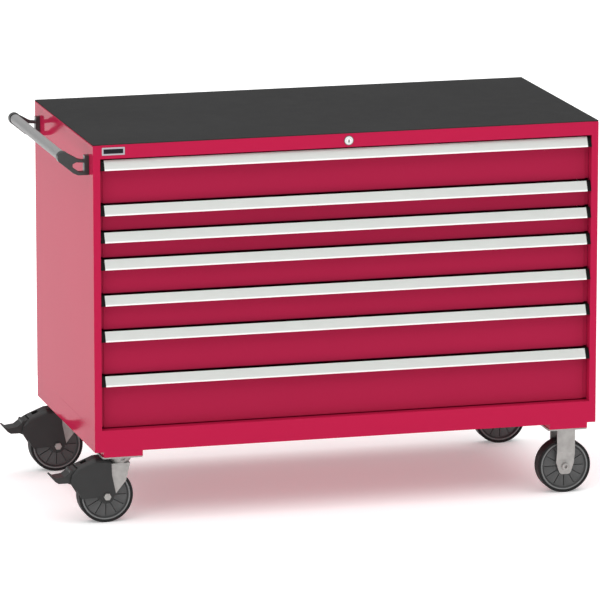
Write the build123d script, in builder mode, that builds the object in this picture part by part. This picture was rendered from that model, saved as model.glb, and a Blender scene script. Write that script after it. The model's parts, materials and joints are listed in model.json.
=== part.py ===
from build123d import *
import os

# Wheeled workbench: a double-width steel cabinet with seven drawers on full-extension slides, a worktop mat,
# a push handle on its left side, one central lock, two braked swivel casters and two rigid casters.
# Frame: +X along the width, the drawers open towards -Y, +Z up, z = 0 on the floor, and the origin is
# the middle of the whole object's footprint, brake pedals and handle lips included. Millimetres.

# ---- Housing ----
WIDTH = 1435.0            # cabinet, side to side
DEPTH = 724.0             # cabinet, front frame to back panel
HOUSING = 853.5           # underside to steel top
MAT = 2.5                 # worktop mat thickness
GROUND = 206.0            # floor to the underside of the housing
SHEET = 2.0               # housing sheet thickness
STILE = 20.0              # visible width of the front stiles
STILE_DEPTH = 28.0        # stile fold, front to back
BASE_H = 60.5             # height of the base frame
BASE_FLANGE = 40.0        # fold under the base frame
RAIL_H = 38.0             # height of the top rail
BEND = 1.8                # outside radius of a folded sheet corner
TOP_BEND = 3.5            # outside radius where a side panel folds over into the top
TOP_FLANGE = 30.0         # width of that fold on the top
PEDAL_REACH = 117.5       # brake pedal tips beyond the left side
LIP_REACH = 3.0           # handle lips in front of the frame

CX = PEDAL_REACH / 2
CY = LIP_REACH / 2
LEFT, RIGHT = CX - WIDTH / 2, CX + WIDTH / 2
FRONT, BACK = CY - DEPTH / 2, CY + DEPTH / 2
BOTTOM, TOP = GROUND, GROUND + HOUSING
SEAM = BOTTOM + BASE_H
RAIL_Z = TOP - RAIL_H
SIDES = ((-1, LEFT), (1, RIGHT))

# ---- Drawers ----
FRONT_HEIGHTS = (125.0, 75.0, 75.0, 100.0, 100.0, 125.0, 150.0)   # from the top drawer down
DRAWERS_TOP = BOTTOM + 813.0
RECESS = 25.0             # drawer fronts behind the frame face
INNER_GAP = 20.6          # side panel face to the edge of the panel behind a drawer front
SIDE_GAP = 31.4           # side panel face to the edge of a drawer front
TRAY_GAP = 34.0           # side panel face to the tray wall
TRAY_SHEET = 1.5
TRAY_LENGTH = 671.0       # back of the front panel to the back of the tray
FRONT_DROP = 12.0         # slot top to the top edge of a drawer front
FRONT_LIFT = 0.5          # slot bottom to the bottom edge of a drawer front
FRONT_FOLD = 13.0         # fold under the bottom edge of a front
TRAY_DROP = 14.0          # slot top to the rim of a tray
TRAY_LIFT = 2.5           # slot bottom to the underside of a tray
RIM_FOLD = 7.0            # inward hem along the tray rim
HANDLE_END = 31.6         # side panel face to the end of a handle
CAP_END = 20.8            # side panel face to the end of a handle's cap

# ---- Telescopic slides ----
SLIDE_Z = 32.0            # slide centre above the slot bottom
SLIDE_START = 30.0        # frame face to the front end of a slide
SLIDE_SHEET = 1.2
FIXED_X, FIXED_REACH, FIXED_HALF, FIXED_LENGTH = 21.0, 30.0, 22.0, 660.0
MIDDLE_X, MIDDLE_REACH, MIDDLE_HALF, MIDDLE_LENGTH = 23.4, 31.4, 17.5, 640.0
MOVING_REACH, MOVING_HALF, MOVING_LENGTH = 26.0, 12.0, 655.0
HANGERS = (40.0, 320.0, 600.0)
HANGER_HALF = 18.0

# ---- Lock ----
LOCK_Z = BOTTOM + 834.0
LOCK_THROW = 8.0          # travel of the lock bar
CAM_R = LOCK_THROW / 2 ** 0.5
CAM_PIN_R = 2.5
PLUG_R = 8.0
BARREL_R = 11.0
ESCUTCHEON_R = 13.2
RUNNING = 0.05            # radial clearance of a turning fit
BAR_X, BAR_T = CX + 15.0, 4.0
BAR_FRONT, BAR_BACK = FRONT + 31.0, FRONT + 715.0
ARM_Z, ARM_H = BOTTOM + 829.0, 10.0
CATCH_Z = 25.0            # lock catch above the slot bottom
CATCH_REACH, CATCH_H, CATCH_HALF = 10.0, 10.0, 12.0
TRAY_BACK = FRONT + RECESS + TRAY_SHEET + TRAY_LENGTH

# ---- Casters ----
CHANNEL_DROP = 15.0       # channel below the housing
CHANNEL_IN, CHANNEL_WIDE, CHANNEL_SHEET = 25.0, 109.0, 3.0
PLATE_X, PLATE_Y, PLATE_T = 114.0, 102.0, 5.0
PLATE_Z = BOTTOM - CHANNEL_DROP - PLATE_T
CASTER_Z = PLATE_Z + 17.5 # height that the caster outlines below are measured from
CASTER_IN = 79.0          # side panel to a caster's plate centre
CASTER_END = 55.0         # frame face, or back panel, to a plate centre
WHEEL_R, TYRE_T, TYRE_HALF = 76.2, 7.0, 21.5
SPOKES, SPOKE_GROOVE = 12, 2.0
TRAIL = 41.0              # swivel axis to the axle
LEG_IN, LEG_OUT = 23.0, 26.5
RIGID_LEG_TOP = 30.5      # inside of a rigid fork's legs at the plate
RIGID_LEG_W = 52.0
AXLE_R = 6.0
ROUND_HEAD_R, SOCKET_HALF = 10.5, 4.0
KINGPIN_R = 9.0
COVER_IN, COVER_OUT = 27.0, 33.0
PEDAL_HALF = 26.0
PIVOT = (-118.0, -64.0)   # brake pivot from the swivel axis and CASTER_Z
PIVOT_R = 4.0
AXLE = (-TRAIL, WHEEL_R - CASTER_Z)    # axle from the swivel axis and CASTER_Z
# Side outline of the brake hood from the swivel axis and CASTER_Z: x, z, fall towards the cheek
HOOD = ((-28, -24, 10), (-50, -19.5, 12), (-71, -21, 12), (-89, -28, 14), (-124, -42, 12), (-139, -60, 6),
        (-143, -82, 0), (-138, -94, 0), (-128, -104, 0), (-111, -131, 0), AXLE + (0,), (-15, -126, 0),
        (-27, -67, 0))
HOOD_STEPS = ((0.0, 0.0), (20.0, 0.0), (27.0, 0.25), (31.0, 0.6), (COVER_OUT, 1.0))
SCREW_X, SCREW_Y, SCREW_R = 84.0, 80.0, 4.0
HOLE_PLAY = 0.3           # radial clearance of a fixed fastener's hole
SWIVEL_X = LEFT + CASTER_IN
RIGID_X = RIGHT - CASTER_IN
CASTER_Y = {"front": FRONT + CASTER_END, "rear": BACK - CASTER_END}

# ---- Push handle ----
TUBE_R, TUBE_WALL = 14.0, 2.0
TUBE_OUT, TUBE_Z = 71.0, BOTTOM + 815.0
SOCKET_R = 16.8
BRACKET_T = 20.0
BRACKET_Y = (FRONT + 47.0, BACK - 47.0 - BRACKET_T)
BRACKET_SKIN = 3.0        # closed end of a socket
HANDLE_SCREWS_Z = (BOTTOM + 773.0, BOTTOM + 802.0)


# ================= Helpers =================

def save(builder, name):
    """Labels the finished piece and writes it."""
    builder.part.label = name
    export_step(builder.part, f"parts/{name}.step")


def slab(low, high, mode=Mode.ADD):
    """A box between two opposite corners."""
    with Locations((Vector(*low) + Vector(*high)) / 2):
        Box(*(abs(b - a) for a, b in zip(low, high)), mode=mode)


def front_plane(x, y, z):
    """A plane seen from the front: local x along +X, local y up, extruding towards the viewer."""
    return Plane(origin=(x, y, z), x_dir=(1, 0, 0), z_dir=(0, -1, 0))


def side_plane(x, y, z):
    """A plane across X: local x along +Y, local y up, extruding towards +X."""
    return Plane(origin=(x, y, z), x_dir=(0, 1, 0), z_dir=(1, 0, 0))


def outline(*corners, mode=Mode.ADD):
    """A closed face through corner points; a corner's third number is its rounding radius."""
    points = [corner[:2] for corner in corners]
    radii = [corner[2] if len(corner) > 2 else 0 for corner in corners]
    with BuildLine() as border:
        FilletPolyline(*points, radius=radii, close=True)
    make_face(border.edges(), mode=mode)


# ================= Housing =================

def side_panels():
    for (side, face), word in zip(SIDES, ("left", "right")):
        with BuildPart() as side_panel:
            with BuildSketch(front_plane(face, FRONT + SHEET, 0)):
                outline((0, SEAM), (0, TOP, TOP_BEND), (-side * TOP_FLANGE, TOP),
                        (-side * TOP_FLANGE, TOP - SHEET), (-side * SHEET, TOP - SHEET, TOP_BEND - SHEET),
                        (-side * SHEET, SEAM))
            extrude(amount=-(DEPTH - SHEET))
            with BuildSketch(front_plane(face, FRONT, 0)):
                outline((0, SEAM), (0, TOP, TOP_BEND), (-side * STILE, TOP), (-side * STILE, SEAM))
            extrude(amount=-SHEET)
            slab((face - side * (STILE - SHEET), FRONT, SEAM),
                 (face - side * STILE, FRONT + STILE_DEPTH, TOP - SHEET))
            slab((face, BACK - 2 * SHEET, SEAM), (face - side * STILE, BACK - SHEET, TOP - TOP_BEND))
            corner = side_panel.edges().filter_by(Axis.Z).sort_by_distance((face, FRONT, SEAM + 300))[0]
            fillet(corner, BEND)
            if side < 0:
                for y in BRACKET_Y:
                    for z in HANDLE_SCREWS_Z:
                        with BuildSketch(side_plane(face, y + BRACKET_T / 2, z)):
                            Circle(SCREW_R + HOLE_PLAY)
                        extrude(amount=2 * SHEET, mode=Mode.SUBTRACT)
        save(side_panel, f"side_panel_{word}")


def bar_guide(y0, y1, z0, z1):
    """Two plates that guide the lock bar between them."""
    for x in (BAR_X - 2.5, BAR_X + BAR_T + 0.5):
        slab((x, y0, z0), (x + 2.0, y1, z1))


def back_panel():
    with BuildPart() as back:
        slab((LEFT + SHEET, BACK - SHEET, SEAM), (RIGHT - SHEET, BACK, TOP - SHEET))
        fillet(back.edges().filter_by(Axis.Y).group_by(Axis.Z)[-1], TOP_BEND)
        for z in (SEAM + 180.0, SEAM + 560.0):
            bar_guide(TRAY_BACK + CATCH_REACH + 1.5, BACK - SHEET, z, z + 30.0)
    save(back, "back_panel")


def top_panel():
    with BuildPart() as top:
        slab((LEFT + TOP_FLANGE, FRONT + SHEET, TOP - SHEET), (RIGHT - TOP_FLANGE, BACK, TOP))
        slab((LEFT + STILE, FRONT, RAIL_Z), (RIGHT - STILE, FRONT + SHEET, TOP))
        slab((LEFT + STILE, FRONT, RAIL_Z), (RIGHT - STILE, FRONT + RECESS, RAIL_Z + SHEET))
        bar_guide(FRONT + 340.0, FRONT + 370.0, ARM_Z, TOP - SHEET)
        with BuildSketch(front_plane(CX, FRONT - 1, LOCK_Z)):
            Circle(BARREL_R + HOLE_PLAY)
        extrude(amount=-2 * SHEET, mode=Mode.SUBTRACT)
    save(top, "top_panel")


def bottom_panel():
    with BuildPart() as bottom:
        slab((LEFT + SHEET, FRONT + SHEET, SEAM - SHEET), (RIGHT - SHEET, BACK - SHEET, SEAM))
    save(bottom, "bottom_panel")


def base_frame():
    with BuildPart() as base:
        with BuildSketch(Plane.XY.offset(BOTTOM)):
            with Locations((CX, CY)):
                RectangleRounded(WIDTH, DEPTH, BEND)
                Rectangle(WIDTH - 2 * SHEET, DEPTH - 2 * SHEET, mode=Mode.SUBTRACT)
        extrude(amount=BASE_H)
        with BuildSketch(Plane.XY.offset(BOTTOM)):
            with Locations((CX, CY)):
                Rectangle(WIDTH - SHEET, DEPTH - SHEET)
                Rectangle(WIDTH - BASE_FLANGE * 2, DEPTH - BASE_FLANGE * 2, mode=Mode.SUBTRACT)
        extrude(amount=SHEET)
    save(base, "base_frame")


def worktop_mat():
    with BuildPart() as mat:
        slab((LEFT, FRONT, TOP), (RIGHT, BACK, TOP + MAT))
        fillet(mat.edges().filter_by(Axis.Z), 2.0)
        fillet(mat.faces().sort_by(Axis.Z)[-1].edges(), 0.8)
    save(mat, "worktop_mat")


def label_plate():
    with BuildPart() as plate:
        with BuildSketch(front_plane(LEFT + 56.5, FRONT, BOTTOM + 836.0)):
            RectangleRounded(63.7, 21.5, 2.0)
        extrude(amount=1.2)
        fillet(plate.faces().sort_by(Axis.Y)[0].edges(), 0.4)
    save(plate, "label_plate")


# ================= Drawers =================

def drawer(number, low, high):
    """A welded tray and front in the slot from low to high, with its slide members and its lock catch."""
    front, back = FRONT + RECESS, TRAY_BACK
    inner_front = front + TRAY_SHEET
    rim = high - TRAY_DROP
    with BuildPart() as tray:
        slab((LEFT + TRAY_GAP, inner_front, low + TRAY_LIFT), (RIGHT - TRAY_GAP, back, rim))
        slab((LEFT + TRAY_GAP + TRAY_SHEET, inner_front + TRAY_SHEET, low + TRAY_LIFT + TRAY_SHEET),
             (RIGHT - TRAY_GAP - TRAY_SHEET, back - TRAY_SHEET, rim - TRAY_SHEET), mode=Mode.SUBTRACT)
        slab((LEFT + TRAY_GAP + RIM_FOLD, inner_front + RIM_FOLD, rim - TRAY_SHEET),
             (RIGHT - TRAY_GAP - RIM_FOLD, back - RIM_FOLD, rim), mode=Mode.SUBTRACT)
        slab((LEFT + SIDE_GAP, front, low + FRONT_LIFT), (RIGHT - SIDE_GAP, inner_front, high - FRONT_DROP))
        slab((LEFT + INNER_GAP, inner_front, low + TRAY_LIFT),
             (RIGHT - INNER_GAP, inner_front + TRAY_SHEET, rim))
        slab((LEFT + SIDE_GAP, front, low + FRONT_LIFT),
             (RIGHT - SIDE_GAP, front + FRONT_FOLD, low + FRONT_LIFT + TRAY_SHEET))
        slab((LEFT + TRAY_GAP, inner_front, low + FRONT_LIFT),
             (RIGHT - TRAY_GAP, front + FRONT_FOLD, low + TRAY_LIFT))
        for side, face in SIDES:
            slide_member(side, face, low + SLIDE_Z, TRAY_GAP - SLIDE_SHEET, TRAY_GAP,
                         MOVING_REACH, MOVING_HALF, MOVING_LENGTH)
        slab((CX - CATCH_HALF, back, low + CATCH_Z),
             (CX + CATCH_HALF, back + CATCH_REACH, low + CATCH_Z + TRAY_SHEET))
        slab((CX - CATCH_HALF, back + CATCH_REACH - TRAY_SHEET, low + CATCH_Z),
             (CX + CATCH_HALF, back + CATCH_REACH, low + CATCH_Z + CATCH_H))
        edges = tray.edges().filter_by(Axis.X).filter_by_position(Axis.Y, front - 0.01, front + 0.01)
        fillet(edges, 0.7)
    save(tray, f"drawer_{number}")


def slide_member(side, face, z, web_0, web_1, reach, half, length):
    """A C-section on one side of a drawer: a web between two depths and two flanges out to reach."""
    y0, y1 = FRONT + SLIDE_START, FRONT + SLIDE_START + length
    slab((face - side * web_0, y0, z - half), (face - side * web_1, y1, z + half))
    for flange in (z - half, z + half - SLIDE_SHEET):
        slab((face - side * web_0, y0, flange), (face - side * reach, y1, flange + SLIDE_SHEET))


def middle_slides(number, low):
    """The pair of intermediate slide members of one drawer."""
    with BuildPart() as middle:
        for side, face in SIDES:
            slide_member(side, face, low + SLIDE_Z, MIDDLE_X, MIDDLE_X + SLIDE_SHEET,
                         MIDDLE_REACH, MIDDLE_HALF, MIDDLE_LENGTH)
    save(middle, f"slides_{number}")


def cabinet_rails(slots):
    """The fixed slide members of all drawers, each on three hangers."""
    with BuildPart() as rails:
        for low, _ in slots:
            for side, face in SIDES:
                slide_member(side, face, low + SLIDE_Z, FIXED_X, FIXED_X + SLIDE_SHEET,
                             FIXED_REACH, FIXED_HALF, FIXED_LENGTH)
                for hanger in HANGERS:
                    slab((face - side * SHEET, FRONT + hanger, low + SLIDE_Z - HANGER_HALF),
                         (face - side * FIXED_X, FRONT + hanger + SHEET, low + SLIDE_Z + HANGER_HALF))
    save(rails, "cabinet_rails")


def handle(number, high):
    """A full-width extrusion: a face that slopes out to a bead, and a web back to the drawer front."""
    with BuildPart() as extrusion:
        with BuildSketch(side_plane(LEFT + HANDLE_END, FRONT, high)):
            outline((9.0, -2.0, 0.7), (-2.8, -26.5), (-0.8, -27.4), (11.0, -2.9, 0.7))
            with Locations((0.0, -27.5)):
                Circle(LIP_REACH)
            outline((5.5, -13.0), (5.5, -11.0), (RECESS, -11.0), (RECESS, -26.0), (23.5, -26.0), (23.5, -13.0))
        extrude(amount=WIDTH - 2 * HANDLE_END)
    save(extrusion, f"handle_{number}")

    with BuildPart() as caps:
        for x in (LEFT + CAP_END, RIGHT - HANDLE_END):
            with BuildSketch(side_plane(x, FRONT, high)):
                outline((9.0, -2.0, 1.0), (-2.9, -26.5, 2.0), (-2.9, -30.3, 2.0), (24.9, -30.3, 2.0),
                        (24.9, -2.0, 2.0))
            extrude(amount=HANDLE_END - CAP_END)
    save(caps, f"handle_caps_{number}")


# ================= Lock =================

def lock(slots):
    with BuildPart() as barrel:
        with BuildSketch(front_plane(CX, FRONT, LOCK_Z)):
            Circle(ESCUTCHEON_R)
        extrude(amount=2.0)
        fillet(barrel.faces().sort_by(Axis.Y)[0].edges(), 0.8)
        with BuildSketch(front_plane(CX, FRONT, LOCK_Z)):
            Circle(BARREL_R)
        extrude(amount=-26.0)
        with BuildSketch(front_plane(CX, FRONT - 5, LOCK_Z)):
            Circle(PLUG_R + RUNNING)
        extrude(amount=-40.0, mode=Mode.SUBTRACT)
    save(barrel, "lock_barrel")

    pin = (CAM_R / 2 ** 0.5, CAM_R / 2 ** 0.5)
    with BuildPart() as plug:
        with BuildSketch(front_plane(CX, FRONT - 2.6, LOCK_Z)):
            Circle(PLUG_R)
        extrude(amount=-29.2)
        fillet(plug.faces().sort_by(Axis.Y)[0].edges(), 0.5)
        with BuildSketch(front_plane(CX, FRONT + 26.4, LOCK_Z)):
            Circle(ESCUTCHEON_R - 3.5)
        extrude(amount=-2.6)
        with BuildSketch(front_plane(CX, FRONT + 28.0, LOCK_Z)):
            with Locations(pin):
                Circle(CAM_PIN_R)
        extrude(amount=-8.0)
        slab((CX - 1.0, FRONT - 3, LOCK_Z - 4.5), (CX + 1.0, FRONT + 1.5, LOCK_Z + 4.5), mode=Mode.SUBTRACT)
    save(plug, "lock_cylinder")

    with BuildPart() as bar:
        slab((BAR_X, BAR_FRONT, ARM_Z), (BAR_X + BAR_T, BAR_BACK, ARM_Z + ARM_H))
        slab((BAR_X, BAR_BACK - 14.5, slots[-1][0] + CATCH_Z), (BAR_X + BAR_T, BAR_BACK, ARM_Z + ARM_H))
        for low, _ in slots:
            finger = low + CATCH_Z + CATCH_H + 2.0
            slab((CX - 8.0, TRAY_BACK + 3.5, finger), (BAR_X + BAR_T, TRAY_BACK + 6.5, finger + 4.0))
        with BuildSketch(front_plane(CX, BAR_FRONT + 3.0, LOCK_Z)):
            with Locations(((BAR_X + BAR_T - CX) / 2 - 1.5, pin[1])):
                Rectangle(BAR_X + BAR_T - CX + 3.0, 17.0)
            with Locations(((pin[0] + CAM_R) / 2, pin[1])):
                Rectangle(2 * CAM_PIN_R + CAM_R - pin[0] + 1.2, 2 * CAM_PIN_R + 1.2, mode=Mode.SUBTRACT)
        extrude(amount=3.0)
    save(bar, "lock_bar")


# ================= Casters =================

def screw_points(x, y):
    """The four plate screws of the caster at x, y."""
    return [(x + i * SCREW_X / 2, y + j * SCREW_Y / 2) for i in (-1, 1) for j in (-1, 1)]


def all_casters():
    return [(x, y) for x in (SWIVEL_X, RIGID_X) for y in CASTER_Y.values()]


def caster_channels():
    with BuildPart() as channels:
        for x in (LEFT + CHANNEL_IN, RIGHT - CHANNEL_IN - CHANNEL_WIDE):
            low = BOTTOM - CHANNEL_DROP
            slab((x, FRONT, low), (x + CHANNEL_WIDE, BACK, BOTTOM))
            slab((x + CHANNEL_SHEET, FRONT + CHANNEL_SHEET, low + CHANNEL_SHEET),
                 (x + CHANNEL_WIDE - CHANNEL_SHEET, BACK - CHANNEL_SHEET, BOTTOM), mode=Mode.SUBTRACT)
        for x, y in all_casters():
            with BuildSketch(Plane.XY.offset(BOTTOM - CHANNEL_DROP)):
                with Locations(*screw_points(x, y)):
                    Circle(SCREW_R + HOLE_PLAY)
            extrude(amount=CHANNEL_SHEET, mode=Mode.SUBTRACT)
    save(channels, "caster_channels")


def caster_plate(x, y):
    """The drilled and countersunk top plate of one caster, added to the part being built."""
    with BuildSketch(Plane.XY.offset(PLATE_Z)) as plan:
        with Locations((x, y)):
            RectangleRounded(PLATE_X, PLATE_Y, 9.0)
    extrude(plan.sketch, amount=PLATE_T)
    with Locations(*[Plane(origin=(i, j, PLATE_Z), z_dir=(0, 0, -1)) for i, j in screw_points(x, y)]):
        CounterSinkHole(SCREW_R + HOLE_PLAY, 2 * SCREW_R + HOLE_PLAY, depth=PLATE_T, counter_sink_angle=90)


def plate_screw(x, y):
    """A countersunk caster screw with its nut inside the channel."""
    with BuildPart() as screw:
        with BuildSketch(side_plane(x, y, PLATE_Z)):
            outline((0, 0.1), (2 * SCREW_R - 0.1, 0.1), (SCREW_R, SCREW_R), (SCREW_R, 16.8), (0, 16.8))
        revolve(axis=Axis((x, y, 0), (0, 0, 1)))
        with BuildSketch(Plane.XY.offset(PLATE_Z + PLATE_T + CHANNEL_SHEET + 0.02)):
            with Locations((x, y)):
                RegularPolygon(6.5, 6, major_radius=False)
        extrude(amount=6.5)
    return screw.part


def handle_screw(y, z):
    """A socket-head screw from inside the cabinet into a handle bracket."""
    with BuildPart() as screw:
        with BuildSketch(side_plane(LEFT + SHEET + 0.02, y, z)):
            Circle(7.0)
        extrude(amount=5.0)
        with BuildSketch(side_plane(LEFT + SHEET + 1.0, y, z)):
            Circle(SCREW_R)
        extrude(amount=-13.0)
        with BuildSketch(side_plane(LEFT + SHEET + 3.0, y, z)):
            RegularPolygon(2.5, 6, major_radius=False)
        extrude(amount=4.0, mode=Mode.SUBTRACT)
    return screw.part


def fixing_screws():
    screws = [plate_screw(*point) for caster in all_casters() for point in screw_points(*caster)]
    screws += [handle_screw(y + BRACKET_T / 2, z) for y in BRACKET_Y for z in HANDLE_SCREWS_Z]
    with BuildPart() as group:
        add(screws)
    save(group, "fixing_screws")


def axle_bolt(x, y, half, round_heads=False):
    """An axle bolt and nut through a fork: hexagons, or round heads with sockets.
    half is from the wheel's middle to under the head."""
    with BuildSketch(front_plane(x, y, WHEEL_R)) as shank:
        Circle(AXLE_R)
    extrude(shank.sketch, amount=half + 1.0, both=True)
    for toward in (1, -1):
        with BuildSketch(front_plane(x, y - toward * (half + 0.05), WHEEL_R)) as head:
            if round_heads:
                Circle(ROUND_HEAD_R)
                RegularPolygon(SOCKET_HALF, 6, major_radius=False, mode=Mode.SUBTRACT)
            else:
                RegularPolygon(9.0, 6, major_radius=False)
        extrude(head.sketch, amount=toward * 7.0)


def swivel_plates():
    """The fixed plates of both swivel casters, each with its kingpin."""
    with BuildPart() as plates:
        for y in CASTER_Y.values():
            caster_plate(SWIVEL_X, y)
            with BuildSketch(Plane.XY.offset(PLATE_Z)):
                with Locations((SWIVEL_X, y)):
                    Circle(KINGPIN_R)
            extrude(amount=-25.0)
            with BuildSketch(Plane.XY.offset(PLATE_Z - 24.2)):
                with Locations((SWIVEL_X, y)):
                    Circle(KINGPIN_R + 5.0)
            extrude(amount=-4.0)
    save(plates, "swivel_plates")


def swivel_fork(word, y):
    """The turning head and fork of a swivel caster, with its axle bolt."""
    middle = front_plane(SWIVEL_X, y, CASTER_Z)
    spin = Axis((SWIVEL_X, y, 0), (0, 0, 1))
    with BuildPart() as fork:
        with BuildSketch(middle):
            outline((-31, -37), (26, -37), (14, -86, 14), (-19, -127), AXLE, (-62, -117))
            with Locations(AXLE):
                Circle(17.0)
        extrude(amount=LEG_OUT, both=True)
        slab((SWIVEL_X - 120, y - LEG_IN, 0), (SWIVEL_X + 60, y + LEG_IN, CASTER_Z - 41), mode=Mode.SUBTRACT)
        with BuildSketch(side_plane(SWIVEL_X, y, CASTER_Z)):
            outline((0, -18.3), (36.0, -18.3, 1.5), (37.0, -22.0, 1.5), (32.0, -31.0, 3), (27.0, -37.0), (0, -37.0))
        revolve(axis=spin)
        slab((SWIVEL_X - 3, y - 40, CASTER_Z - 28), (SWIVEL_X + 9, y - 29, CASTER_Z - 22), mode=Mode.SUBTRACT)
        with BuildSketch(Plane.XY.offset(CASTER_Z - 50)):
            with Locations((SWIVEL_X, y)):
                Circle(KINGPIN_R + RUNNING)
        extrude(amount=40, mode=Mode.SUBTRACT)
        with BuildSketch(front_plane(SWIVEL_X - TRAIL, y, WHEEL_R)):
            Circle(AXLE_R + 0.1)
        extrude(amount=LEG_OUT + 5, both=True, mode=Mode.SUBTRACT)
        axle_bolt(SWIVEL_X - TRAIL, y, COVER_OUT)
    save(fork, f"swivel_fork_{word}")


def hood_section(toward, step, fall):
    """The hood's side outline at one step out from its middle; its top corners fall towards the cheek."""
    with BuildSketch(toward.offset(step)) as section:
        outline(*[(x, z - drop * fall) for x, z, drop in HOOD])
    return section.sketch


def brake_cover(word, y):
    """The moulded hood over the fork, with one cheek outside each leg and a slot through its top."""
    middle = front_plane(SWIVEL_X, y, CASTER_Z)
    sections = [hood_section(middle, step, fall) for step, fall in HOOD_STEPS]
    with BuildPart() as cover:
        loft(sections, ruled=True)
        with BuildSketch(middle):
            with Locations(AXLE):
                Circle(20.0)
        extrude(amount=COVER_OUT)
        mirror(about=middle)
        with BuildSketch(middle):
            outline((12, -27), (-45, -24.5), (-70, -25.5, 10), (-121.5, -46), (-121.5, -30), (-170, -30),
                    (-170, -190), (12, -190))
        extrude(amount=COVER_IN, both=True, mode=Mode.SUBTRACT)
        with BuildSketch(Plane.XY.offset(CASTER_Z - 48)):
            with Locations((SWIVEL_X, y)):
                Circle(38.0)
        extrude(amount=40, mode=Mode.SUBTRACT)
        slab((SWIVEL_X - 109, y - 12, CASTER_Z - 44), (SWIVEL_X - 92, y + 12, CASTER_Z - 20), mode=Mode.SUBTRACT)
        with BuildSketch(front_plane(SWIVEL_X - TRAIL, y, WHEEL_R)):
            Circle(AXLE_R + HOLE_PLAY)
        extrude(amount=COVER_OUT + 5, both=True, mode=Mode.SUBTRACT)
        with BuildSketch(middle):
            with Locations(PIVOT):
                Circle(PIVOT_R + RUNNING)
        extrude(amount=COVER_OUT + 5, both=True, mode=Mode.SUBTRACT)
    save(cover, f"brake_cover_{word}")


def brake_pedal(word, y):
    """The rocking brake pedal with its pivot pin; its inner end carries the shoe above the tyre."""
    middle = front_plane(SWIVEL_X, y, CASTER_Z)
    tip = -(PEDAL_REACH + CASTER_IN)
    with BuildPart() as pedal:
        with BuildSketch(middle):
            outline((-126, -45.5, 2), (-135, -51, 1), (-138, -48.5, 1.5), (-142, -51, 1.5), (-144, -57, 2),
                    (-158, -67, 4), (-184, -70, 5), (-193, -62.5, 2), (tip, -65.5), (-185, -79, 5), (-175, -85.5, 5),
                    (-150, -85.5, 6), (-140, -90, 6), (-122, -88, 4), (-106, -84, 3), (-104, -66, 6), (-108, -54, 6))
        extrude(amount=PEDAL_HALF, both=True)
        with BuildSketch(middle):
            with Locations(PIVOT):
                Circle(PIVOT_R)
        extrude(amount=COVER_OUT, both=True)
    save(pedal, f"brake_pedal_{word}")


def rigid_forks():
    """Both rigid casters' forks: a plate and two joggled legs each, with their axle bolts."""
    top, knee, ankle, foot = PLATE_Z, BOTTOM - 88, BOTTOM - 114, WHEEL_R - 22.0
    legs = []
    for y in CASTER_Y.values():
        with BuildPart() as leg_pair:
            with BuildSketch(side_plane(RIGID_X - RIGID_LEG_W / 2, y, 0)):
                for s in (-1, 1):
                    outline((s * RIGID_LEG_TOP, top), (s * RIGID_LEG_TOP, knee), (s * LEG_IN, ankle),
                            (s * LEG_IN, foot), (s * LEG_OUT, foot), (s * LEG_OUT, ankle),
                            (s * (RIGID_LEG_TOP + 3.5), knee), (s * (RIGID_LEG_TOP + 3.5), top))
            extrude(amount=RIGID_LEG_W)
            with BuildSketch(front_plane(RIGID_X, y, 0)):
                half = RIGID_LEG_W / 2
                outline((-half, top), (-half, ankle - 4, 12), (-15, foot, 10), (15, foot, 10), (half, ankle - 4, 12),
                        (half, top))
            extrude(amount=60, both=True, mode=Mode.INTERSECT)
            with BuildSketch(front_plane(RIGID_X, y, WHEEL_R)):
                Circle(AXLE_R + 0.1)
            extrude(amount=60, both=True, mode=Mode.SUBTRACT)
        legs.append(leg_pair.part)
    with BuildPart() as forks:
        add(legs)
        for y in CASTER_Y.values():
            caster_plate(RIGID_X, y)
            axle_bolt(RIGID_X, y, LEG_OUT, round_heads=True)
    save(forks, "rigid_forks")


def wheel(word, x, y):
    """A hub with a rim, a web and ribs, and the tyre on it."""
    rim = WHEEL_R - TYRE_T
    middle = side_plane(x, y, WHEEL_R)
    spin = Axis((x, y, WHEEL_R), (0, 1, 0))
    with BuildPart() as hub:
        with BuildSketch(middle):
            outline((-22.5, AXLE_R + RUNNING), (-22.5, 16), (-14.5, 20, 2), (-13, rim - 10, 1.5),
                    (-18.5, rim - 6, 1.2), (-19.5, rim - 3, 1.2), (-18.5, rim), (18.5, rim), (19.5, rim - 3, 1.2),
                    (18.5, rim - 6, 1.2), (13, rim - 10, 1.5), (14.5, 20, 2), (22.5, 16),
                    (22.5, AXLE_R + RUNNING))
        revolve(axis=spin)
        for side in (-1, 1):
            with BuildSketch(front_plane(x, y - side * 9.0, WHEEL_R)):
                with PolarLocations((rim + 11) / 2, SPOKES):
                    Rectangle(rim - 33, SPOKE_GROOVE)
            extrude(amount=side * 10.0, mode=Mode.SUBTRACT)
    save(hub, f"{word}_hub")

    with BuildPart() as tyre:
        with BuildSketch(middle):
            outline((-18.5, rim + 0.1), (-TYRE_HALF, rim + 1.5, 1), (-TYRE_HALF, WHEEL_R, 3.8),
                    (TYRE_HALF, WHEEL_R, 3.8), (TYRE_HALF, rim + 1.5, 1), (18.5, rim + 0.1))
        revolve(axis=spin)
    save(tyre, f"{word}_tyre")


# ================= Push handle =================

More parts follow.
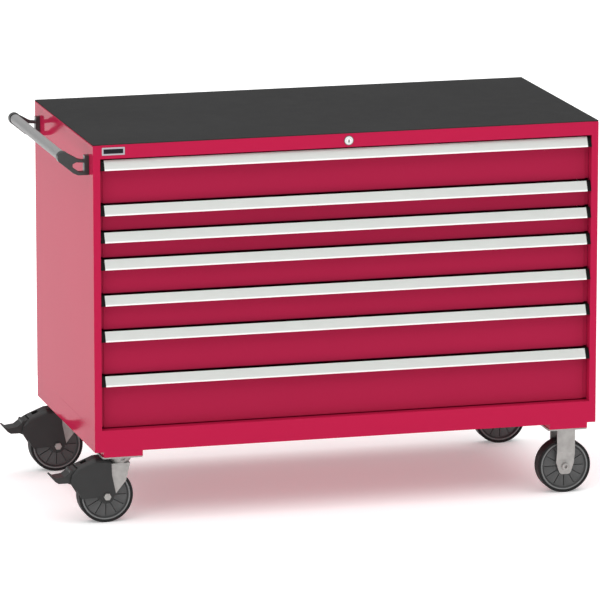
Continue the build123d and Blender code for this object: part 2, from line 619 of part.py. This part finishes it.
def bracket(y):
    """A moulded arm from the side panel out to the tube, with a window and a blind socket."""
    wall = front_plane(LEFT, y + BRACKET_T, BOTTOM)
    ring = (-TUBE_OUT, TUBE_Z - BOTTOM)
    blind = y + BRACKET_SKIN if y < CY else y
    with BuildPart() as arm:
        with BuildSketch(wall):
            outline((0, 765), (0, 818.5), (-12, 818.5), (-12, 806, 2), (-28, 808.5, 20), (-44, 818, 20),
                    (-64.6, 829.0), ring, (-82.2, 803.0), (-44, 771, 15), (-31, 765, 12))
            with Locations(ring):
                Circle(SOCKET_R)
            outline((-13, 799.5, 2), (-13, 774, 2), (-27, 774, 4), (-45, 787, 4), (-46, 796, 3), (-36, 801, 3),
                    mode=Mode.SUBTRACT)
        extrude(amount=BRACKET_T)
        fillet(arm.faces().sort_by(Axis.Y)[0].edges(), 1.0)
        with BuildSketch(Plane(origin=(LEFT - TUBE_OUT, blind, TUBE_Z), x_dir=(1, 0, 0), z_dir=(0, 1, 0))):
            Circle(TUBE_R + 0.1)
        extrude(amount=BRACKET_T - BRACKET_SKIN, mode=Mode.SUBTRACT)
        for z in HANDLE_SCREWS_Z:
            with BuildSketch(side_plane(LEFT, y + BRACKET_T / 2, z)):
                Circle(SCREW_R + 0.1)
            extrude(amount=-10.2, mode=Mode.SUBTRACT)
    return arm.part


def push_handle():
    arms = [bracket(y) for y in BRACKET_Y]
    with BuildPart() as brackets:
        add(arms)
    save(brackets, "handle_brackets")

    start = BRACKET_Y[0] + BRACKET_SKIN + 0.2
    with BuildPart() as tube:
        with BuildSketch(front_plane(LEFT - TUBE_OUT, start, TUBE_Z)):
            Circle(TUBE_R)
            Circle(TUBE_R - TUBE_WALL, mode=Mode.SUBTRACT)
        extrude(amount=-(BRACKET_Y[1] + BRACKET_T - BRACKET_SKIN - 0.2 - start))
    save(tube, "push_tube")


# ================= Build =================

def drawer_slots():
    """The bottom and top height of each drawer's slot, from the top drawer down."""
    slots = []
    high = DRAWERS_TOP
    for height in FRONT_HEIGHTS:
        slots.append((high - height, high))
        high -= height
    return slots


os.makedirs("parts", exist_ok=True)
SLOTS = drawer_slots()
side_panels()
back_panel()
top_panel()
bottom_panel()
base_frame()
worktop_mat()
label_plate()
cabinet_rails(SLOTS)
for NUMBER, (LOW, HIGH) in enumerate(SLOTS, 1):
    drawer(NUMBER, LOW, HIGH)
    middle_slides(NUMBER, LOW)
    handle(NUMBER, HIGH)
lock(SLOTS)
caster_channels()
fixing_screws()
swivel_plates()
rigid_forks()
for WORD, Y in CASTER_Y.items():
    swivel_fork(WORD, Y)
    brake_cover(WORD, Y)
    brake_pedal(WORD, Y)
    wheel(f"swivel_{WORD}", SWIVEL_X - TRAIL, Y)
    wheel(f"rigid_{WORD}", RIGID_X, Y)
push_handle()
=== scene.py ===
import json
import math
import bmesh
import bpy
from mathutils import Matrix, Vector

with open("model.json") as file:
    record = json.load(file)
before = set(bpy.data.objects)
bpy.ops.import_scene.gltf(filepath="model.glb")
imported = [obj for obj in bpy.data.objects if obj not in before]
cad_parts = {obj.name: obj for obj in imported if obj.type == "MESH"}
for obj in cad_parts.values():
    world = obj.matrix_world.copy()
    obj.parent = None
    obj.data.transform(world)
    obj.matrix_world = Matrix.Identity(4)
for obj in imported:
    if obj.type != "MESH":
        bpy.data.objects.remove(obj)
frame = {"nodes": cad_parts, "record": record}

# Looks of the wheeled workbench. Metres, in the CAD model's own frame: drawers open towards -Y, +Z is up.

# ---- Camera and light ----
CAMERA_AT = (-4.124, -15.382, 3.931)
CAMERA_YAW = 15.07             # degrees to the right of +Y
CAMERA_PITCH = 12.08           # degrees below the horizon
LENS = 348.0                   # millimetres on a 36 mm sensor
FLOOR_SIZE = 60.0
WALLS = 0.42                   # brightness of the walls around the floor
OVERHEAD = 2.45                # watts per square metre
KEY = 0.42                     # watts per square metre
FLOOR_GLOW = 0.26              # light of its own that the white sweep gives off

# ---- Colours, linear ----
CRIMSON = (0.478, 0.0136, 0.0625)
DRAWER_CRIMSON = (0.400, 0.0155, 0.0585)

# ---- Details ----
HUB_WEDGES = 12                # grooves in each face of a hub
EDGE_WEAR_AND_GLINT = 0.0012              # how far from an edge paint is rubbed and plastic carries a painted highlight


# ================= Shader helpers =================

def material(name, color, roughness, metallic=0.0, **sockets):
    """A Principled material; extra sockets are given by name with _ for spaces."""
    made = bpy.data.materials.new(name)
    made.use_nodes = True
    shader = made.node_tree.nodes["Principled BSDF"]
    shader.inputs["Base Color"].default_value = (*color, 1.0)
    shader.inputs["Roughness"].default_value = roughness
    shader.inputs["Metallic"].default_value = metallic
    for socket, value in sockets.items():
        shader.inputs[socket.replace("_", " ")].default_value = value
    return made


def add_node(made, kind, **values):
    """A node of this kind with input sockets set by name."""
    node = made.node_tree.nodes.new(kind)
    for socket, value in values.items():
        node.inputs[socket.replace("_", " ")].default_value = value
    return node


def join(made, source, target):
    made.node_tree.links.new(source, target)


def shader_of(made):
    return made.node_tree.nodes["Principled BSDF"]


def color_from(made, source):
    """Feeds the shader's colour."""
    join(made, source, shader_of(made).inputs["Base Color"])


def roughness_from(made, source):
    """Feeds the shader's roughness."""
    join(made, source, shader_of(made).inputs["Roughness"])


def noise(made, scale, detail=3.0, stretch=(1.0, 1.0, 1.0)):
    """Noise that travels with its piece, scale cells to a metre; a stretch above 1 squeezes them that way."""
    place = add_node(made, "ShaderNodeTexCoord")
    squeeze = add_node(made, "ShaderNodeMapping", Scale=stretch)
    texture = add_node(made, "ShaderNodeTexNoise", Scale=scale, Detail=detail)
    join(made, place.outputs["Object"], squeeze.inputs["Vector"])
    join(made, squeeze.outputs["Vector"], texture.inputs["Vector"])
    return texture.outputs["Fac"]


def spread(made, source, low, high, start=0.0, end=1.0):
    """Maps a grey value from start..end to low..high."""
    remap = add_node(made, "ShaderNodeMapRange", From_Min=start, From_Max=end, To_Min=low, To_Max=high)
    join(made, source, remap.inputs["Value"])
    return remap.outputs["Result"]


def blend_color(made, fac, first, second):
    """A colour between first and second; either may be a socket or a colour."""
    mix = made.node_tree.nodes.new("ShaderNodeMix")
    mix.data_type = "RGBA"
    join(made, fac, mix.inputs["Factor"])
    for socket, value in (("A", first), ("B", second)):
        target = next(i for i in mix.inputs if i.name == socket and i.type == "RGBA")
        if isinstance(value, tuple):
            target.default_value = (*value, 1.0)
        else:
            join(made, value, target)
    return next(o for o in mix.outputs if o.type == "RGBA")


def edges(made, radius):
    """1 along sharp edges and 0 on flats, from the change a rounded edge would make."""
    bevel = add_node(made, "ShaderNodeBevel", Radius=radius)
    surface = add_node(made, "ShaderNodeNewGeometry")
    dot = made.node_tree.nodes.new("ShaderNodeVectorMath")
    dot.operation = "DOT_PRODUCT"
    join(made, bevel.outputs["Normal"], dot.inputs[0])
    join(made, surface.outputs["Normal"], dot.inputs[1])
    return spread(made, dot.outputs["Value"], 1.0, 0.0, 0.75, 0.995)


def relief(made, height, distance, strength=1.0, rounding=0.0):
    """Bump from a grey height, over softly rounded edges when rounding is given."""
    bump = add_node(made, "ShaderNodeBump", Strength=strength, Distance=distance)
    join(made, height, bump.inputs["Height"])
    if rounding:
        bevel = add_node(made, "ShaderNodeBevel", Radius=rounding)
        join(made, bevel.outputs["Normal"], bump.inputs["Normal"])
    join(made, bump.outputs["Normal"], shader_of(made).inputs["Normal"])


def math_node(made, operation, first, second=None):
    """One math step; first and second are sockets or numbers."""
    step = made.node_tree.nodes.new("ShaderNodeMath")
    step.operation = operation
    for target, value in zip(step.inputs, (first, second)):
        if isinstance(value, (int, float)):
            target.default_value = value
        elif value is not None:
            join(made, value, target)
    return step.outputs["Value"]


def across(made):
    """The place within a piece's own box as X, Y and Z sockets, each from 0 to 1."""
    place = add_node(made, "ShaderNodeTexCoord")
    split = add_node(made, "ShaderNodeSeparateXYZ")
    join(made, place.outputs["Generated"], split.inputs["Vector"])
    return split.outputs["X"], split.outputs["Y"], split.outputs["Z"]


def polar(made):
    """Around a piece's own Y axis: the distance, 1 at the side of its box, and the angle in radians."""
    x, _, z = across(made)
    dx = math_node(made, "SUBTRACT", x, 0.5)
    dz = math_node(made, "SUBTRACT", z, 0.5)
    square = math_node(made, "ADD", math_node(made, "MULTIPLY", dx, dx), math_node(made, "MULTIPLY", dz, dz))
    radius = math_node(made, "MULTIPLY", math_node(made, "SQRT", square), 2.0)
    return radius, math_node(made, "ARCTAN2", dz, dx)


def color_so_far(made):
    """The socket that feeds the shader's colour at this point."""
    return next(link.from_socket for link in made.node_tree.links if link.to_socket.name == "Base Color")


def band(made, value, low, high, soft):
    """1 where value lies between low and high, with soft borders, and 0 elsewhere."""
    rise = spread(made, value, 0.0, 1.0, low - soft, low + soft)
    fall = spread(made, value, 1.0, 0.0, high - soft, high + soft)
    return math_node(made, "MULTIPLY", rise, fall)


def scaled(color, factor):
    return tuple(channel * factor for channel in color)


# ================= Materials =================

def powder_coat(name, color):
    """Smooth glossy powder coat over sheet steel: faint orange peel and a paler rub along the edges."""
    made = material(name, color, 0.1, IOR=1.095)
    cloud = spread(made, noise(made, 1.6, 3.0), 0.0, 1.0, 0.35, 0.65)
    body = blend_color(made, cloud, scaled(color, 0.985), scaled(color, 1.015))
    edge_wear_and_glint = edges(made, EDGE_WEAR_AND_GLINT)
    scuff = math_node(made, "MULTIPLY", edge_wear_and_glint, spread(made, noise(made, 90.0, 4.0), 0.0, 0.4, 0.45, 0.7))
    worn = tuple(min(1.0, channel * 1.1 + 0.05) for channel in color)
    color_from(made, blend_color(made, scuff, body, worn))
    roughness_from(made, spread(made, noise(made, 7.0, 4.0), 0.06, 0.12, 0.3, 0.7))
    relief(made, noise(made, 260.0, 2.0), 0.00002, 0.08, 0.0010)
    return made


def rubber_mat(name):
    """The worktop's fine-grained black mat."""
    made = material(name, (0.025, 0.025, 0.026), 0.85, Specular_IOR_Level=0.15)
    grain = noise(made, 1400.0, 3.0)
    patch = spread(made, noise(made, 3.0, 4.0), 0.0, 1.0, 0.35, 0.65)
    tone = blend_color(made, patch, (0.0215, 0.0215, 0.022), (0.0265, 0.0265, 0.027))
    fleck = spread(made, grain, 0.0, 1.0, 0.3, 0.75)
    speckled = blend_color(made, fleck, tone, (0.036, 0.036, 0.036))
    border = edges(made, 0.003)
    color_from(made, blend_color(made, border, speckled, (0.010, 0.010, 0.010)))
    roughness_from(made, spread(made, noise(made, 25.0, 4.0), 0.80, 0.95))
    relief(made, grain, 0.0006, 0.5)
    return made


def brushed(name, color, roughness, metallic, along=(1.0, 60.0, 60.0), fine=30.0):
    """Metal with a fine grain along one axis and faint handling marks."""
    made = material(name, color, roughness, metallic)
    grain = noise(made, fine, 4.0, along)
    smudge = spread(made, noise(made, 14.0, 4.0), 0.0, 1.0, 0.4, 0.7)
    streak = spread(made, grain, 0.0, 1.0, 0.3, 0.7)
    tone = blend_color(made, streak, scaled(color, 0.95), scaled(color, 1.04))
    color_from(made, blend_color(made, smudge, tone, scaled(color, 0.97)))
    roughness_from(made, spread(made, grain, roughness - 0.05, roughness + 0.08, 0.3, 0.7))
    relief(made, grain, 0.0001, 0.25, 0.0006)
    return made


def zinc(name):
    """Zinc-plated pressed steel with soft cloudy patches and small scratches."""
    color = (0.385, 0.375, 0.362)
    made = material(name, color, 0.42, 0.75)
    cloud = spread(made, noise(made, 45.0, 5.0), 0.0, 1.0, 0.35, 0.65)
    color_from(made, blend_color(made, cloud, scaled(color, 0.88), scaled(color, 1.06)))
    roughness_from(made, spread(made, noise(made, 120.0, 4.0), 0.34, 0.52, 0.3, 0.7))
    relief(made, noise(made, 500.0, 3.0), 0.0002, 0.3, 0.0008)
    return made


def moulded(name, color, roughness=0.5, grain=1500.0, depth=0.0002, gloss=0.5):
    """Moulded plastic with a fine spark-eroded grain and a painted highlight brightening its edges."""
    made = material(name, color, roughness, Specular_IOR_Level=gloss)
    cloud = spread(made, noise(made, 30.0, 4.0), 0.0, 1.0, 0.35, 0.65)
    body = blend_color(made, cloud, scaled(color, 0.9), scaled(color, 1.08))
    # painted highlight: plastic edges brightened towards a glint
    edge_wear_and_glint = spread(made, edges(made, EDGE_WEAR_AND_GLINT), 0.0, 0.35)
    color_from(made, blend_color(made, edge_wear_and_glint, body, scaled(color, 1.9)))
    gloss_map = spread(made, noise(made, 60.0, 4.0), roughness - 0.07, roughness + 0.09, 0.3, 0.7)
    roughness_from(made, gloss_map)
    relief(made, noise(made, grain, 2.0), depth, 0.35, 0.0008)
    return made


def hub_nylon(name):
    """Grey moulded hub with painted light: a paler lip round the rim as a painted highlight, a dark ring
    inside it as painted shade, wedges that fade in painted shade and a darker ring round the boss.
    """
    color = (0.077, 0.079, 0.079)
    made = moulded(name, color, 0.45)
    radius, turn = polar(made)
    wedge = math_node(made, "FRACT", math_node(made, "MULTIPLY", turn, HUB_WEDGES / (2 * math.pi)))
    body = color_so_far(made)
    in_web = band(made, radius, 0.42, 0.87, 0.01)
    shade = math_node(made, "MULTIPLY", in_web, math_node(made, "SUBTRACT", 1.0, wedge))
    # painted shade: each wedge of the web darkens across its turn
    body = blend_color(made, math_node(made, "MULTIPLY", shade, 0.55), body, scaled(color, 0.55))
    # painted shade: a dark ring just inside the rim lip
    body = blend_color(made, band(made, radius, 0.875, 0.925, 0.01), body, scaled(color, 0.5))
    # painted highlight: a pale lip round the rim
    body = blend_color(made, band(made, radius, 0.935, 0.975, 0.01), body, scaled(color, 2.6))
    # a darker ring round the boss
    body = blend_color(made, band(made, radius, 0.20, 0.36, 0.02), body, scaled(color, 0.5))
    color_from(made, body)
    return made


def pull_alloy(name):
    """Satin anodised pull with a painted highlight brightening the bead along its lower edge."""
    made = brushed(name, (0.64, 0.66, 0.635), 0.36, 0.4)
    body = color_so_far(made)
    height = across(made)[2]
    # painted highlight: the lower bead brightened towards white
    bead_highlight = spread(made, height, 1.0, 0.0, 0.12, 0.22)
    color_from(made, blend_color(made, bead_highlight, body, (0.98, 0.97, 0.96)))
    return made


def plain_badge(name):
    """A blank plate: a pale border round a dark field."""
    made = moulded(name, (0.010, 0.010, 0.014), 0.3, gloss=0.1)
    body = color_so_far(made)
    x, _, z = across(made)
    field = math_node(made, "MULTIPLY", band(made, x, 0.07, 0.93, 0.01), band(made, z, 0.2, 0.8, 0.03))
    color_from(made, blend_color(made, field, (0.45, 0.43, 0.47), body))
    return made


def satin_chrome(name):
    """Turned lock metal: a greyer chamfer round the rim and painted shade in the lower half of the keyway."""
    bright = (0.72, 0.72, 0.72)
    made = material(name, bright, 0.2, 1.0)
    radius, _ = polar(made)
    rim = spread(made, radius, 0.0, 1.0, 0.74, 0.92)
    x, _, z = across(made)
    # painted shade: the keyway darkened down its lower half
    keyway_shade = math_node(made, "MULTIPLY", band(made, x, 0.40, 0.60, 0.02), band(made, z, 0.20, 0.56, 0.03))
    body = blend_color(made, rim, bright, (0.22, 0.20, 0.20))
    color_from(made, blend_color(made, keyway_shade, body, (0.16, 0.16, 0.16)))
    turn = noise(made, 700.0, 3.0)
    roughness_from(made, spread(made, turn, 0.14, 0.3, 0.3, 0.7))
    relief(made, turn, 0.00005, 0.2, 0.0004)
    return made


MATERIALS = {
    "red_paint": powder_coat("red_paint", CRIMSON),
    "drawer_paint": powder_coat("drawer_paint", DRAWER_CRIMSON),
    "black_mat": rubber_mat("black_mat"),
    "badge_plastic": plain_badge("badge_plastic"),
    "slide_steel": zinc("slide_steel"),
    "handle_alloy": pull_alloy("handle_alloy"),
    "cap_plastic": moulded("cap_plastic", (0.006, 0.005, 0.005), 0.6, gloss=0.1),
    "lock_chrome": satin_chrome("lock_chrome"),
    "bar_steel": zinc("bar_steel"),
    "bracket_plastic": moulded("bracket_plastic", (0.014, 0.015, 0.015), 0.36, gloss=0.65),
    "tube_alloy": brushed("tube_alloy", (0.285, 0.285, 0.285), 0.5, 0.2, (60.0, 1.0, 60.0)),
    "zinc_steel": zinc("zinc_steel"),
    "brake_plastic": moulded("brake_plastic", (0.0205, 0.021, 0.021), 0.5, gloss=0.4),
    "hub_plastic": hub_nylon("hub_plastic"),
    "tyre_rubber": moulded("tyre_rubber", (0.010, 0.010, 0.010), 0.6, 1100.0, 0.0003, 0.25),
}


def paint_nodes():
    """Gives every CAD node the finish of its material slot."""
    for part in frame["record"]["subparts"]:
        mesh = frame["nodes"][part["node"]].data
        mesh.materials.clear()
        mesh.materials.append(MATERIALS[part["material_slot"]])


# ================= Stage =================

def floor():
    """A plain pale floor."""
    half = FLOOR_SIZE / 2
    shape = bmesh.new()
    corners = [shape.verts.new((x * half, y * half, 0.0)) for x, y in ((-1, -1), (1, -1), (1, 1), (-1, 1))]
    shape.faces.new(corners)
    mesh = bpy.data.meshes.new("floor")
    shape.to_mesh(mesh)
    shape.free()
    piece = bpy.data.objects.new("floor", mesh)
    bpy.context.scene.collection.objects.link(piece)
    pale = material("floor_pale", (0.93, 0.93, 0.93), 0.9, Specular_IOR_Level=0.2,
                    Emission_Color=(1.0, 1.0, 1.0, 1.0), Emission_Strength=FLOOR_GLOW)
    tone = spread(pale, noise(pale, 0.6, 3.0), 0.0, 1.0)
    color_from(pale, blend_color(pale, tone, (0.925, 0.925, 0.925), (0.935, 0.935, 0.935)))
    mesh.materials.append(pale)


def soft_sun(name, travel, spread_deg, power):
    """A very wide, even light that shines along one direction; power is in watts per square metre."""
    light = bpy.data.lights.new(name, "SUN")
    light.angle = math.radians(spread_deg)
    light.energy = power
    lamp = bpy.data.objects.new(name, light)
    lamp.rotation_euler = Vector(travel).to_track_quat("-Z", "Y").to_euler()
    bpy.context.scene.collection.objects.link(lamp)


def studio():
    """Dim white walls, a wide light overhead and a softer key from the front left."""
    world = bpy.data.worlds.new("studio")
    world.use_nodes = True
    world.node_tree.nodes["Background"].inputs["Color"].default_value = (1.0, 1.0, 1.0, 1.0)
    world.node_tree.nodes["Background"].inputs["Strength"].default_value = WALLS
    bpy.context.scene.world = world
    soft_sun("overhead", (0.0, 0.1, -1.0), 90.0, OVERHEAD)
    soft_sun("key", (0.55, 0.62, -0.56), 40.0, KEY)
    bpy.context.scene.view_settings.view_transform = "Standard"


def camera():
    lens = bpy.data.cameras.new("camera")
    lens.sensor_width = 36.0
    lens.lens = LENS
    lens.clip_end = 200.0
    eye = bpy.data.objects.new("camera", lens)
    eye.location = CAMERA_AT
    eye.rotation_euler = (math.radians(90 - CAMERA_PITCH), 0.0, -math.radians(CAMERA_YAW))
    bpy.context.scene.collection.objects.link(eye)
    bpy.context.scene.camera = eye


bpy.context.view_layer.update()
paint_nodes()
floor()
studio()
camera()
